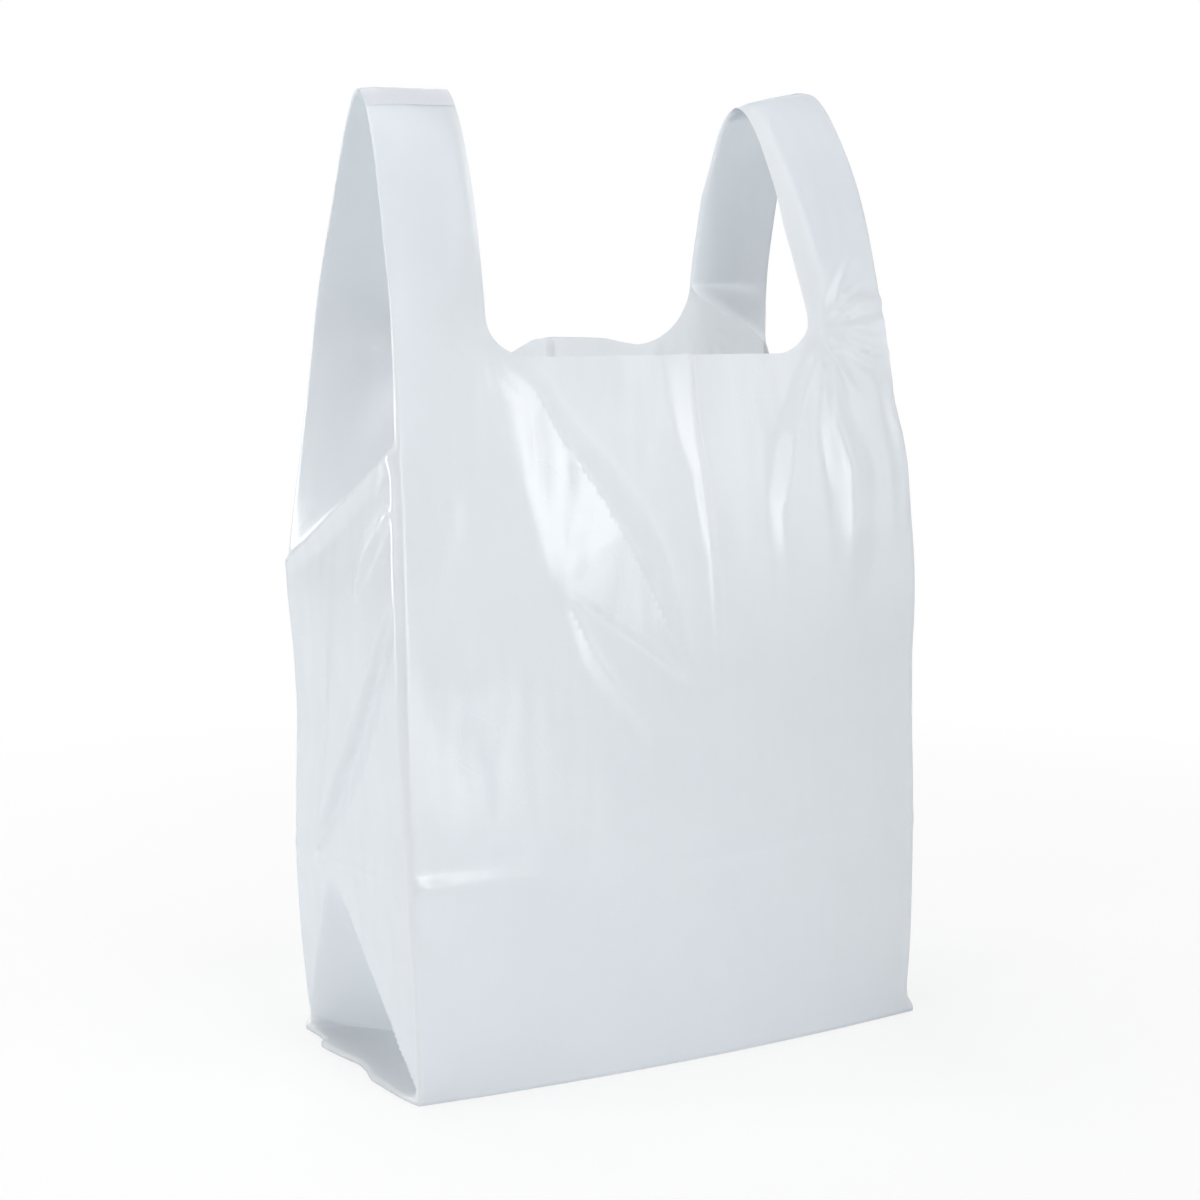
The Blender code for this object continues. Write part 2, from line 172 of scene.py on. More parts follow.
# Folds pressed or pulled into the film, all in millimetres. Each is a line drawn downward or to
# the right over (across, up), with the width of the slope before it, the slope after it, and how
# far its crest stands out.
FOLDS = {
    "front": (
        ((60, 339, 9, 6, 0.8), (67, 333, 17, 8, 2.6), (72, 325, 19, 10, 3.8), (82.5, 302, 25, 14, 5.8),
         (94.5, 283, 32, 17, 7.4), (104, 268, 38, 19, 8.4), (111, 256, 40, 20, 8.6),
         (118, 244, 36, 19, 8.0),
         (123.4, 234, 29, 18, 6.6), (131, 220, 22, 14, 5.0), (139.1, 205.6, 15, 9, 3.3),
         (146, 193.5, 9, 6, 2.0), (152, 183, 4, 3, 0.8), (155, 177, 2, 2, 0.0)),
        ((84, 234, 3, 6, 0.0), (93.9, 226.8, 2.2, 26, 0.8), (100, 221.9, 2.2, 24, 1.2),
         (112.3, 213, 2.2, 18, 1.3), (125, 204.8, 2.2, 11, 1.3), (134.4, 197.6, 2.2, 7, 1.2),
         (140.5, 192.3, 2.2, 4, 1.0), (151, 184, 2, 2, 0.0)),
        ((84, 226, 3, 3, 0.0), (87, 221.5, 5, 3.5, 1.0), (96.7, 200.4, 6, 4, 1.5), (108.9, 182.7, 6, 4, 1.2),
         (120, 168, 5, 4, 0.5), (128, 156, 3, 3, 0.0)),
        ((157.6, 342, 14, 2.2, 3.9), (157.0, 318, 12, 2.2, 3.3), (157.2, 299.5, 9.5, 2.0, 2.6),
         (158.6, 280, 6.5, 2, 1.8), (160.6, 262, 5, 2, 1.4), (162.0, 243, 4, 2, 1.1),
         (164.0, 198, 3, 2, 0.7), (166, 184, 2, 2, 0.0)),
        ((238, 350, 4, 5, 0.0), (230, 334, 7, 9, 2.0), (213, 300, 10, 13, 3.0), (204, 268, 10, 16, 2.5),
         (201, 236, 8, 12, 0.9), (200, 215, 5, 6, 0.0)),
        ((240, 350, 4, 5, 0.0), (238, 332, 7, 8, 1.8), (239, 305, 12, 12, 3.2), (243, 280, 15, 16, 4.2),
         (243, 252, 13, 16, 3.2), (240, 228, 9, 12, 1.2), (238, 206, 6, 7, 0.0)),
        ((270, 338, 3, 3, 0.0), (275, 322, 6, 3, 1.4), (277, 300, 8, 3, 2.2), (276, 266, 8, 4, 2.0),
         (271, 238, 6, 5, 0.0)),
        ((240, 95, 2, 2, 0.0), (247, 94, 3, 3, 0.9), (256, 95, 3, 3, 1.2), (270, 100, 3, 3, 0.9),
         (277, 102, 2, 2, 0.0)),
        ((2, 103, 3, 3, 0.3), (8, 102, 5, 5, 1.3), (16, 101, 4, 4, 0.9), (28, 100.5, 3, 3, 0.0)),
        ((34, 356, 4, 6, 0.0), (44, 344, 7, 10, 0.5), (50, 318, 8, 13, 0.6), (54, 290, 8, 11, 0.3),
         (57, 268, 5, 7, 0.0)),
        ((258, 367, 2, 3, 0.0), (266.5, 365.9, 2.5, 3.5, 1.1), (278, 365.6, 2.5, 3, 1.2)),
        ((254, 357.5, 2, 3, 0.0), (262, 356.4, 2.5, 3, 1.3), (278, 356, 2.5, 3, 1.5)),
        ((248, 347, 2, 3, 0.0), (254, 344.3, 3, 4, 1.1), (269, 341.8, 3, 4, 1.2), (278, 341, 3, 4, 0.7)),
    ),
    "left": (
        ((2, 299.5, 9, 3, 1.6), (65, 270, 12, 4, 2.8), (126, 240, 8, 3, 1.6)),
        ((5, 273, 2, 2, 0.0), (8, 270, 4, 7, 2.6), (27, 253, 5, 10, 4.2), (40, 237, 4, 7, 2.4),
         (46, 229, 2, 2, 0.0)),
        ((4, 232, 6, 3, 0.0), (14, 219, 12, 3.5, -2.4), (38, 186, 17, 4.5, -4.6), (62, 154, 18, 5, -5.0),
         (86, 122, 13, 4.5, -3.4), (104, 100, 6, 3, -1.0), (110, 92, 3, 3, 0.0)),
        ((70, 228, 9, 9, 0.0), (74, 190, 12, 12, 2.0), (84, 150, 12, 12, 2.0), (98, 112, 6, 6, 0.0)),
    ),
    "right": (
        ((20, 250, 6, 6, 0.0), (38, 210, 12, 10, 3.0), (60, 160, 14, 12, 3.6), (78, 118, 8, 8, 0.0)),
        ((118, 262, 4, 4, 0.0), (98, 236, 8, 8, 2.4), (80, 208, 6, 6, 0.0)),
    ),
    "back": (
        ((208, 343, 4, 14, 1.0), (196, 318, 6, 22, 4.2), (182, 286, 7, 28, 5.6), (168, 254, 6, 24, 4.2),
         (154, 222, 4, 12, 1.4), (146, 205, 2, 4, 0.0)),
        ((74, 346, 8, 3, 0.0), (82, 322, 12, 5, 2.6), (92, 286, 14, 6, 3.2), (99, 246, 8, 5, 1.2),
         (103, 222, 3, 3, 0.0)),
        ((138, 340, 8, 2, 2.2), (137, 300, 6, 2, 1.6), (139, 250, 3, 2, 0.8), (140, 210, 2, 2, 0.0)),
        ((30, 363, 3, 3, 0.0), (16, 362, 2.5, 4, 0.9), (2, 362, 2, 3, 0.5)),
    ),
}


# A fold's slope from its edge, at 0, to its crest, at 1, is the sum of these by power.
SLOPE_SHAPE = (0.80, 0.30, -0.10)


def pressed(across, up, folds):
    """Height of the folds above the film at each place, in metres, from tables in millimetres."""
    straight, bent, flattened = SLOPE_SHAPE
    x, y = across * 1000.0, up * 1000.0
    total = np.zeros_like(x)
    for fold in folds:
        nearest = np.full_like(x, 1e9)
        height = np.zeros_like(x)
        for start, end in zip(fold, fold[1:]):
            run_x, run_y = end[0] - start[0], end[1] - start[1]
            along = (x - start[0]) * run_x + (y - start[1]) * run_y
            t = np.clip(along / (run_x ** 2 + run_y ** 2), 0.0, 1.0)
            off_x, off_y = x - start[0] - t * run_x, y - start[1] - t * run_y
            away = np.hypot(off_x, off_y)
            is_before = off_x * run_y - off_y * run_x > 0.0
            before, after, crest = (start[k] + (end[k] - start[k]) * t for k in (2, 3, 4))
            slope = np.clip(1.0 - away / np.where(is_before, before, after), 0.0, 1.0)
            lift = crest * slope * (straight + slope * (bent + flattened * slope))
            height = np.where(away < nearest, lift, height)
            nearest = np.minimum(away, nearest)
        total += height
    return total / 1000.0


PUCKER_WIDTH = 2.3       # mm, of one slope at the point that a fan spreads from
PUCKER_SPREAD = 0.045    # and how much wider it grows for each mm away from there


def fan(seed, centre, angles, reach, count, lift):
    """Fine puckers that spread from one point of the film, as lines for `pressed`."""
    draw = np.random.default_rng(seed)
    lines = []
    for turn in np.linspace(*angles, count):
        turn = math.radians(turn + draw.uniform(-4.0, 4.0))
        begin, length = draw.uniform(5.0, 12.0), reach * draw.uniform(0.55, 1.0)
        bend = math.radians(draw.uniform(-9.0, 9.0))
        line = []
        for share, rise in ((0.0, 0.0), (0.25, 1.0), (0.6, 0.7), (1.0, 0.0)):
            away = begin + share * length
            across = centre[0] + math.cos(turn + bend * share) * away
            up = centre[1] + math.sin(turn + bend * share) * away
            wide = PUCKER_WIDTH + PUCKER_SPREAD * away
            line.append((across, up, wide, wide * 1.3, lift * rise))
        lines.append(tuple(line))
    return tuple(lines)


PUCKERS = {
    "front": fan(11, (236, 352), (-75, 50), 50, 13, 2.6) + fan(12, (44, 352), (-150, -30), 34, 8, 0.8),
    "back": fan(13, (44, 352), (-150, -20), 36, 9, 0.8) + fan(14, (236, 352), (-150, -30), 34, 7, 0.6),
    "left": fan(15, (2, 300), (-40, 40), 34, 5, 0.6),
    "right": fan(16, (128, 296), (150, 220), 40, 6, 0.7),
}


def waves(across, up, seed, count, shortest, longest, stretch):
    """Soft random rolls of the film, longer up the tube than round it. About 1 high."""
    draw = np.random.default_rng(seed)
    total = np.zeros_like(across)
    for _ in range(count):
        length = math.exp(draw.uniform(math.log(shortest), math.log(longest)))
        turn, phase = draw.uniform(-0.5, 0.5) * math.pi, draw.uniform(0.0, 2.0 * math.pi)
        x, y = math.cos(turn) / length, math.sin(turn) / (length * stretch)
        total += np.sin(2.0 * math.pi * (x * across + y * up) + phase)
    return total / math.sqrt(count)


def packing_crease(up, across):
    """The old fold across the flat bag, round the body at one height, which it leaves a little."""
    wander = 0.0016 * np.sin(across * 31.0 + 0.6)
    return CREASE_DEPTH * np.clip(1.0 - np.abs(up - CREASE_HEIGHT - wander) / CREASE_REACH, 0.0, 1.0)


ROLL_HEIGHT = 0.00042    # the film's long soft rolls
RIPPLE_HEIGHT = 0.00010  # and its short ones
CALM_EDGE = 0.012        # width beside an outer fold where both die out
CALM_FOOT = 0.030        # and film above the flap
CREASE_END = 0.004       # width beside an outer fold where the packing crease fades
RELIEF_START = 0.006     # width beside an outer fold over which a side's relief starts


def relief(panel, across, up):
    """All that stands out of a panel's plain shape."""
    far = 2.0 * GUSSET if panel in SIDE_SIGN else WIDTH
    from_fold = np.minimum(across, far - across)
    free = smooth(from_fold / CALM_EDGE) * smooth((up - FLAP) / CALM_FOOT)
    out = pressed(across, up, FOLDS[panel]) + pressed(across, up, PUCKERS[panel])
    out += free * ROLL_HEIGHT * waves(across, up, 21 + len(panel), 26, 0.028, 0.120, 2.6)
    out += free * RIPPLE_HEIGHT * waves(across, up, 41 + len(panel), 40, 0.007, 0.022, 3.5)
    return out + packing_crease(up, across) * smooth(from_fold / CREASE_END)


def face_place(face, across, up):
    """Places on the front or back panel: drawn between its two outer folds, bulged and creased."""
    share = (across / WIDTH)[..., None]
    left, left_in = on_upright("left", face, up)
    right, right_in = on_upright("right", face, up)
    place = left + (right - left) * share
    outward = -(left_in + (right_in - left_in) * share)
    edge = 1.0 - (2.0 * share[..., 0] - 1.0) ** 2
    over_strap = np.clip((WIDTH - across) / STRAP_WIDTH, 0.0, 1.1) ** 1.7
    tilt = RIGHT_TILT * smooth((up - RIM) / STRAP_FILM) * over_strap
    place[..., 2] -= tilt * (across > WIDTH / 2)
    lower = 1.0 - smooth((place[..., 2] - CREASE_HEIGHT) / (BACK_SHOULDER - CREASE_HEIGHT))
    out = FRONT_BULGE * edge * (lower if face == "front" else 0.5 * lower)
    return place + outward * (out + relief(face, across, up))[..., None]


def side_place(side, across, up):
    """Places on a side panel: tucked in at its foot, folded inward above its ridge, and laid
    against the front and back strips above the rim."""
    front, front_in = on_upright(side, "front", up)
    back, back_in = on_upright(side, "back", up)
    share = across / (2.0 * GUSSET)
    from_fold = np.minimum(across, 2.0 * GUSSET - across)
    half_depth = (back[..., 1] - front[..., 1]) / 2.0
    place = front + (back - front) * share[..., None]
    fold_in = np.sqrt(np.maximum(GUSSET ** 2 - half_depth ** 2, 0.0)) * from_fold / GUSSET
    above = np.maximum(place[..., 2] - RIDGE_FRONT - (RIDGE_BACK - RIDGE_FRONT) * share, 0.0)
    in_by = np.minimum(fold_in, above)
    sink = (FOOT - FOOT_HEIGHT) * np.maximum(1.0 - (up - FOOT) / FOOT_REACH, 0.0)
    place[..., 2] -= sink * np.minimum(from_fold / FOOT_SIDE, 1.0)
    y, z = place[..., 1], place[..., 2] - FOOT_HEIGHT
    front_slope = y + GUSSET - z * (GUSSET + HOLLOW_SHIFT) / HOLLOW_TOP
    back_slope = GUSSET - y - z * (GUSSET - HOLLOW_SHIFT) / HOLLOW_TOP
    blend = np.maximum(TUCK_SOFT - np.abs(front_slope - back_slope), 0.0)
    both = np.minimum(front_slope, back_slope) - blend ** 2 / (4.0 * TUCK_SOFT)
    tuck = np.clip(both, 0.0, HOLLOW_DEPTH)
    in_by += tuck - relief(side, across, up) * np.minimum(from_fold / RELIEF_START, 1.0)
    place[..., 0] -= SIDE_SIGN[side] * in_by
    beside = from_fold if side == "left" else WIDTH - from_fold
    front_layer = face_place("front", beside, up) + front_in * PLY_GAP
    back_layer = face_place("back", beside, up) + back_in * PLY_GAP
    layer = np.where((across < GUSSET)[..., None], front_layer, back_layer)
    closing = np.where(up > RIM, smooth((up - RIM) / SLOT_CLOSE[side]), 0.0)
    close = closing * np.minimum(from_fold / PLY_START, 1.0)
    return place + (layer - place) * close[..., None]


def spread(points, step):
    """Columns or rows at about `step` apart, through all the given points."""
    found = [points[0]]
    for start, end in zip(points, points[1:]):
        count = max(1, round((end - start) / step))
        found += [start + (end - start) * k / count for k in range(1, count + 1)]
    return found


STEP = 0.0021            # about the size of the grid's cells
BEND = 0.006             # width beside an outer fold where the columns are closer
RIM_BAND = 4.0 * STEP    # no stamped edge is further below the rim than this
SHARP_FOLD = 0.30        # height over slope width from which a fold has a crisp crest
WHITE_FOLD = 0.45        # and from which its crest is whitened: stress whitening with a painted highlight
FOLD_WHITE_AND_HIGHLIGHT = 0.55        # how white the sharpest folds are: stress whitening and a painted highlight along the crest
LEAST_WHITE = 0.04       # and the softest of those with a crisp crest, as a share of that
FLAP_PAINTED_LIGHT = 0.90        # how much the doubled film of the flaps is whitened: painted light that lifts the shade under the tuck
OUTER_FOLD_WHITE_AND_HIGHLIGHT = 0.50  # how white the four outer folds are up to the rim: stress whitening and a painted highlight
WHITE_COLUMNS = 3        # columns on each side of them that are so
HANDLE_FADE = 0.060      # film above the rim over which they lose
HANDLE_LOSS = 0.8        # this share of their white

# Half the width of the facet along an outer fold, at these heights of the film.
LEFT_FRONT_FACET = ((0.03, 0.12, 0.24, 0.30, 0.36, 0.40),
                    (0.0012, 0.0022, 0.0042, 0.0036, 0.0030, 0.0012))
OTHER_FACETS = ((RIM - 0.05, RIM), (0.0026, 0.0012))
FACET_START = 0.012      # film above the flap over which a facet reaches its width
FACET_FLAT, FACET_ROUND = 0.8, 0.2       # how much of it is flat, and how much a round bend

# The edges of the tuck in the left side, where the film is bent inward: as in FOLDS.
TUCK_LINES = {
    "left": (((4, 13, 2, 2, 1.1), (46, 53, 2, 2, 1.1), (70, 75, 2, 2, 0.8), (85, 89, 2, 2, 0.6)),),
}
NEAR_FOLD = [0.0, 0.0008, 0.0018, 0.0030, 0.0045, BEND]
HALF_FACE = NEAR_FOLD[:-1] + spread([BEND, STRAP_WIDTH, WIDTH / 2], STEP)
HALF_SIDE = NEAR_FOLD[:-1] + spread([BEND, INNER_WIDTH, GUSSET], STEP)
FACE_COLUMNS = HALF_FACE + [WIDTH - c for c in reversed(HALF_FACE[:-1])]
SIDE_COLUMNS = HALF_SIDE + [2.0 * GUSSET - c for c in reversed(HALF_SIDE[:-1])]
FOOT_STEPS = 14
FOOT_ROWS = [FLAP + (FOOT - FLAP) * k / FOOT_STEPS for k in range(FOOT_STEPS)]
ROWS = [0.0] + FOOT_ROWS + spread([FOOT, CREASE_HEIGHT, RIM, TOP], STEP)


def skew(strip, up):
    """Width that a strip of the right handle gains at each height from being askew."""
    line = np.array(SKEW[strip]) / 1000.0
    return np.interp(up, line[:, 0], line[:, 1])


def stamp_distance(panel, across, up):
    """How far a place is outside the stamped mouth, or less than 0 inside it."""
    half = GUSSET if panel in SIDE_SIGN else WIDTH / 2
    kept = INNER_WIDTH if panel in SIDE_SIGN else STRAP_WIDTH
    from_fold = half - np.abs(across - half)
    radius, rim = CUT_RADIUS, RIM
    if panel in ("right", "back"):
        far_back = across > half
        kept = np.where(far_back, STRAP_WIDTH + skew("back", up), kept)
        radius = np.where(far_back, BACK_RADIUS, CUT_RADIUS)
    if panel == "right":
        kept = kept + np.where(far_back, 0.0, skew("right", up))
        rim = RIM - np.where(far_back, RIGHT_BACK_SAG, RIGHT_SAG)
    if panel == "front":
        kept = kept + np.where(across > half, skew("front", up), 0.0)
    if panel == "back":
        wave = np.array(BACK_RIM) / 1000.0
        rim = RIM + np.interp(across, wave[:, 0], wave[:, 1])
    into_x, into_y = from_fold - kept - radius, up - rim - radius
    corner = radius - np.hypot(np.minimum(into_x, 0.0), np.minimum(into_y, 0.0))
    straight = np.minimum(into_x, into_y) + radius
    return -np.where((into_x < 0.0) & (into_y < 0.0), corner, straight)


def snapped(panel, across, up):
    """Moves places near the stamped outline on to it, in a few steps down the slope."""
    tiny = 1e-5
    for _ in range(3):
        gap = stamp_distance(panel, across, up)
        slope_x = (stamp_distance(panel, across + tiny, up) - gap) / tiny
        slope_y = (stamp_distance(panel, across, up + tiny) - gap) / tiny
        steep = np.maximum(slope_x ** 2 + slope_y ** 2, 1e-6)
        across, up = across - gap * slope_x / steep, up - gap * slope_y / steep
    return across, up


UPRIGHT_CREASE = 3       # its place in FOLDS["front"]
CREASE_HOME = 0.1615     # where the column that follows it starts
CREASE_PULL = 0.030      # width on each side over which the other columns give way
CREASE_LOW = 0.100       # height below which the columns are straight again


def led_columns(across, up):
    """Bends the front's columns, so that one of them runs along the long upright crease."""
    line = np.array(FOLDS["front"][UPRIGHT_CREASE])[::-1] / 1000.0
    home = min(FACE_COLUMNS, key=lambda column: abs(column - CREASE_HOME))
    shift = np.interp(up, line[:, 1], line[:, 0]) - home
    pull = smooth(1.0 - np.abs(across - home) / CREASE_PULL)
    return across + shift * pull * smooth((up - CREASE_LOW) / (line[0, 1] - CREASE_LOW))


def creased(panel, across, up):
    """Moves the grid on to the crests of the sharp folds. Returns how white each place is, which
    is 0 away from a crest and rises to the sharpest folds' white where the film was bent hardest:
    the film's stress whitening, together with a painted highlight along the crest."""
    white = np.zeros_like(across)
    for fold in FOLDS[panel] + TUCK_LINES.get(panel, ()):
        line = np.array(fold) / 1000.0
        sharp = np.clip(np.abs(line[:, 4]) / np.minimum(line[:, 2], line[:, 3]), 0.0, 1.0)
        if sharp.max() < SHARP_FOLD:
            continue
        for start, end, first, last in zip(line, line[1:], sharp, sharp[1:]):
            run = end[:2] - start[:2]
            steep = abs(run[1]) > abs(run[0])
            along, beside = (up, across) if steep else (across, up)
            p, q = (1, 0) if steep else (0, 1)
            t = (along - start[p]) / run[p]
            target = start[q] + t * run[q]
            off = np.abs(beside - target)
            nearest = off == off.min(axis=1 if steep else 0, keepdims=True)
            moved = (t >= 0.0) & (t <= 1.0) & (off < STEP) & nearest & (white == 0.0)
            beside[moved] = target[moved]
            bend = (first + (last - first) * t - WHITE_FOLD) / (1.0 - WHITE_FOLD)
            white[moved] = FOLD_WHITE_AND_HIGHLIGHT * np.clip(bend, LEAST_WHITE, 1.0)[moved]
    return white


def panel_grid(panel):
    """A panel's grid: how white it is, its places, the cells that the stamp leaves, and how far
    across the film each place is."""
    columns = SIDE_COLUMNS if panel in SIDE_SIGN else FACE_COLUMNS
    across, up = np.meshgrid(np.array(columns), np.array(ROWS))
    middle_x = (across[:-1, :-1] + across[1:, 1:]) / 2.0
    middle_y = (up[:-1, :-1] + up[1:, 1:]) / 2.0
    cells = stamp_distance(panel, middle_x, middle_y) > 0.0
    if panel == "front":
        across = led_columns(across, up)
    used = np.zeros(across.shape, dtype=int)
    whole = np.zeros(across.shape, dtype=int)
    for i in (0, 1):
        for j in (0, 1):
            rows, cols = slice(i, across.shape[0] - 1 + i), slice(j, across.shape[1] - 1 + j)
            used[rows, cols] += cells
            whole[rows, cols] += 1
    cut = (used > 0) & (used < whole) & (up > RIM - RIM_BAND)
    moved_across, moved_up = snapped(panel, across, up)
    across, up = np.where(cut, moved_across, across), np.where(cut, moved_up, up)
    inner = (slice(FOOT_STEPS + 2, -1), slice(len(NEAR_FOLD), -len(NEAR_FOLD)))
    inner_across, inner_up = across[inner].copy(), up[inner].copy()
    inner_white = creased(panel, inner_across, inner_up)
    keep = cut[inner]
    across[inner] = np.where(keep, across[inner], inner_across)
    up[inner] = np.where(keep, up[inner], inner_up)
    white = np.zeros_like(across)
    white[inner] = np.where(keep, 0.0, inner_white)
    # The outer folds are whitened up to the rim: partly the film's stress whitening, partly a painted
    # highlight along the folds.
    left_in_handle = 1.0 - HANDLE_LOSS * smooth((np.array(ROWS) - RIM) / HANDLE_FADE)
    fold_white_and_highlight = OUTER_FOLD_WHITE_AND_HIGHLIGHT * left_in_handle[:, None]
    white[:, :WHITE_COLUMNS] = white[:, -WHITE_COLUMNS:] = fold_white_and_highlight
    # The flaps are whitened as painted light, which lifts the shade that the tuck casts on them.
    if panel in SIDE_SIGN:
        white[:FOOT_STEPS + 1] = FLAP_PAINTED_LIGHT
    up = np.minimum(up, TOP)
    place = side_place(panel, across, up) if panel in SIDE_SIGN else face_place(panel, across, up)
    return white, place, cells, across


# The floor's two ends, as places (y, x). The left one has two soft points and a notch behind them.
END_LINE = {
    "left": ((-0.070, -0.1395), (-0.055, -0.1425), (-0.040, -0.1436), (-0.022, -0.1446),
             (-0.010, -0.1415), (0.001, -0.1402), (0.017, -0.1432), (0.032, -0.1452),
             (0.0365, -0.1448), (0.039, -0.1408), (0.052, -0.1398), (0.066, -0.1408)),
    "right": ((-0.070, 0.1425), (-0.040, 0.1408), (-0.012, 0.1432), (0.014, 0.1405), (0.040, 0.1430),
              (0.066, 0.1412)),
}


def floor_outline(panel, across, place):
    """The lowest row, drawn out to the floor's outline."""
    moved = place.copy()
    if panel in SIDE_SIGN:
        line = np.array(END_LINE[panel])
        moved[..., 0] = np.interp(place[..., 1], line[:, 0], line[:, 1])
        return moved
    left, right = np.array(END_LINE["left"]), np.array(END_LINE["right"])
    low = np.interp(place[..., 1], left[:, 0], left[:, 1])
    high = np.interp(place[..., 1], right[:, 0], right[:, 1])
    moved[..., 0] = low + (high - low) * across / WIDTH
    return moved


def laid_foot(panel, across, place):
    """Lays the rows between the floor's edge and the foot of the walls, as a flap at the ends."""
    last = 1 + FOOT_STEPS
    edge = floor_outline(panel, across[0], place[0])
    place[0] = edge
    place[0, :, 2] = 0.0
    edge = edge.copy()
    edge[:, 2] = FLAP
    for row in range(1, last):
        share = (row - 1) / FOOT_STEPS
        place[row] = edge + (place[last] - edge) * share
    return place


def tube_grid():
    """The four panels joined round the tube: places, how white they are, and the cells kept."""
    strips, whites, cells = [], [], []
    for name in ("front", "right", "back", "left"):
        white, place, kept, across = panel_grid(name)
        place = laid_foot(name, across, place)
        if name in ("back", "left"):
            white, place, kept = white[:, ::-1], place[:, ::-1], kept[:, ::-1]
        strips.append(place[:, :-1])
        whites.append(white[:, :-1])
        cells.append(kept)
    return tuple(np.concatenate(parts, axis=1) for parts in (strips, whites, cells))


def bent_folds(place):
    """Turns each sharp outer fold into a narrow facet with soft edges."""
    wide, deep = len(FACE_COLUMNS) - 1, len(SIDE_COLUMNS) - 1
    total = place.shape[1]
    reach = len(NEAR_FOLD) - 1
    heights = np.array(ROWS)
    front_left = np.interp(heights, *LEFT_FRONT_FACET)
    plain = np.interp(heights, *OTHER_FACETS)
    spans = {0: front_left, wide: plain, wide + deep: plain, 2 * wide + deep: plain}
    offsets = [-d for d in reversed(NEAR_FOLD[1:])] + NEAR_FOLD
    for fold, half_facet in spans.items():
        span = half_facet * smooth((heights - FLAP) / FACET_START)
        columns = [(fold + k) % total for k in range(-reach, reach + 1)]
        ring = place[:, columns].copy()
        for row, width in enumerate(span):
            if width < 1e-5:
                continue
            before = np.array([np.interp(-width, offsets, ring[row, :, axis]) for axis in range(3)])
            after = np.array([np.interp(width, offsets, ring[row, :, axis]) for axis in range(3)])
            corner = ring[row, reach]
            for k, offset in enumerate(offsets):
                if abs(offset) >= width:
                    continue
                t = (offset + width) / (2.0 * width)
                facet = before + (after - before) * t
                round_bend = before * (1 - t) ** 2 + corner * (2 * t * (1 - t)) + after * t ** 2
                place[row, columns[k]] = FACET_FLAT * facet + FACET_ROUND * round_bend
    return place


def film_verts(shape, place, white, cells):
    """A vertex at each place that a kept cell uses, with its white in the layer "crease"."""
    whiteness = shape.verts.layers.float.new("crease")
    rows, total = place.shape[:2]
    used = np.zeros((rows, total), dtype=bool)
    for i in (0, 1):
        for j in (0, 1):
            used[i:rows - 1 + i] |= np.roll(cells, j, axis=1)
    verts = {}
    for row in range(rows):
        for column in range(total):
            if used[row, column]:
                verts[row, column] = shape.verts.new(place[row, column])
                verts[row, column][whiteness] = white[row, column]
    return verts


def cell_parts(bent):
    """Corners of the faces of a cell: two triangles where a crest runs from corner to corner."""
    if bent[0] and bent[2] and not (bent[1] or bent[3]):
        return (0, 1, 2), (0, 2, 3)
    if bent[1] and bent[3] and not (bent[0] or bent[2]):
        return (0, 1, 3), (1, 2, 3)
    return ((0, 1, 2, 3),)


SAME_PLACE = 0.00004     # vertices closer than this are one


def film_mesh():
    """The whole film as one sheet, with the flat film's own measures as its UV map."""
    place, white, cells = tube_grid()
    place = bent_folds(place)
    rows, total = place.shape[:2]
    place[..., 0] -= CENTRE[0]
    place[..., 1] -= CENTRE[1]
    shape = bmesh.new()
    chart = shape.loops.layers.uv.new("film")
    verts = film_verts(shape, place, white, cells)
    round_columns = FACE_COLUMNS[:-1] + [WIDTH + c for c in SIDE_COLUMNS[:-1]]
    round_columns += [WIDTH + 2 * GUSSET + c for c in round_columns] + [2 * WIDTH + 4 * GUSSET]
    for row in range(rows - 1):
        for column in range(total):
            if not cells[row, column]:
                continue
            following = (column + 1) % total
            keys = ((row, column), (row, following), (row + 1, following), (row + 1, column))
            near_u, far_u = round_columns[column], round_columns[column + 1]
            u = (near_u, far_u, far_u, near_u)
            v = (ROWS[row], ROWS[row], ROWS[row + 1], ROWS[row + 1])
            bent = [white[key] > 0.0 and row > 2 for key in keys]
            for corners in cell_parts(bent):
                face = shape.faces.new([verts[keys[k]] for k in corners])
                for loop, k in zip(face.loops, corners):
                    loop[chart].uv = (u[k], v[k])
    floor_faces(shape, verts, place[0], chart)
    bmesh.ops.remove_doubles(shape, verts=shape.verts, dist=SAME_PLACE)
    for face in shape.faces:
        face.smooth = True
    mesh = bpy.data.meshes.new("film_tube")
    shape.to_mesh(mesh)
    shape.free()
    return mesh


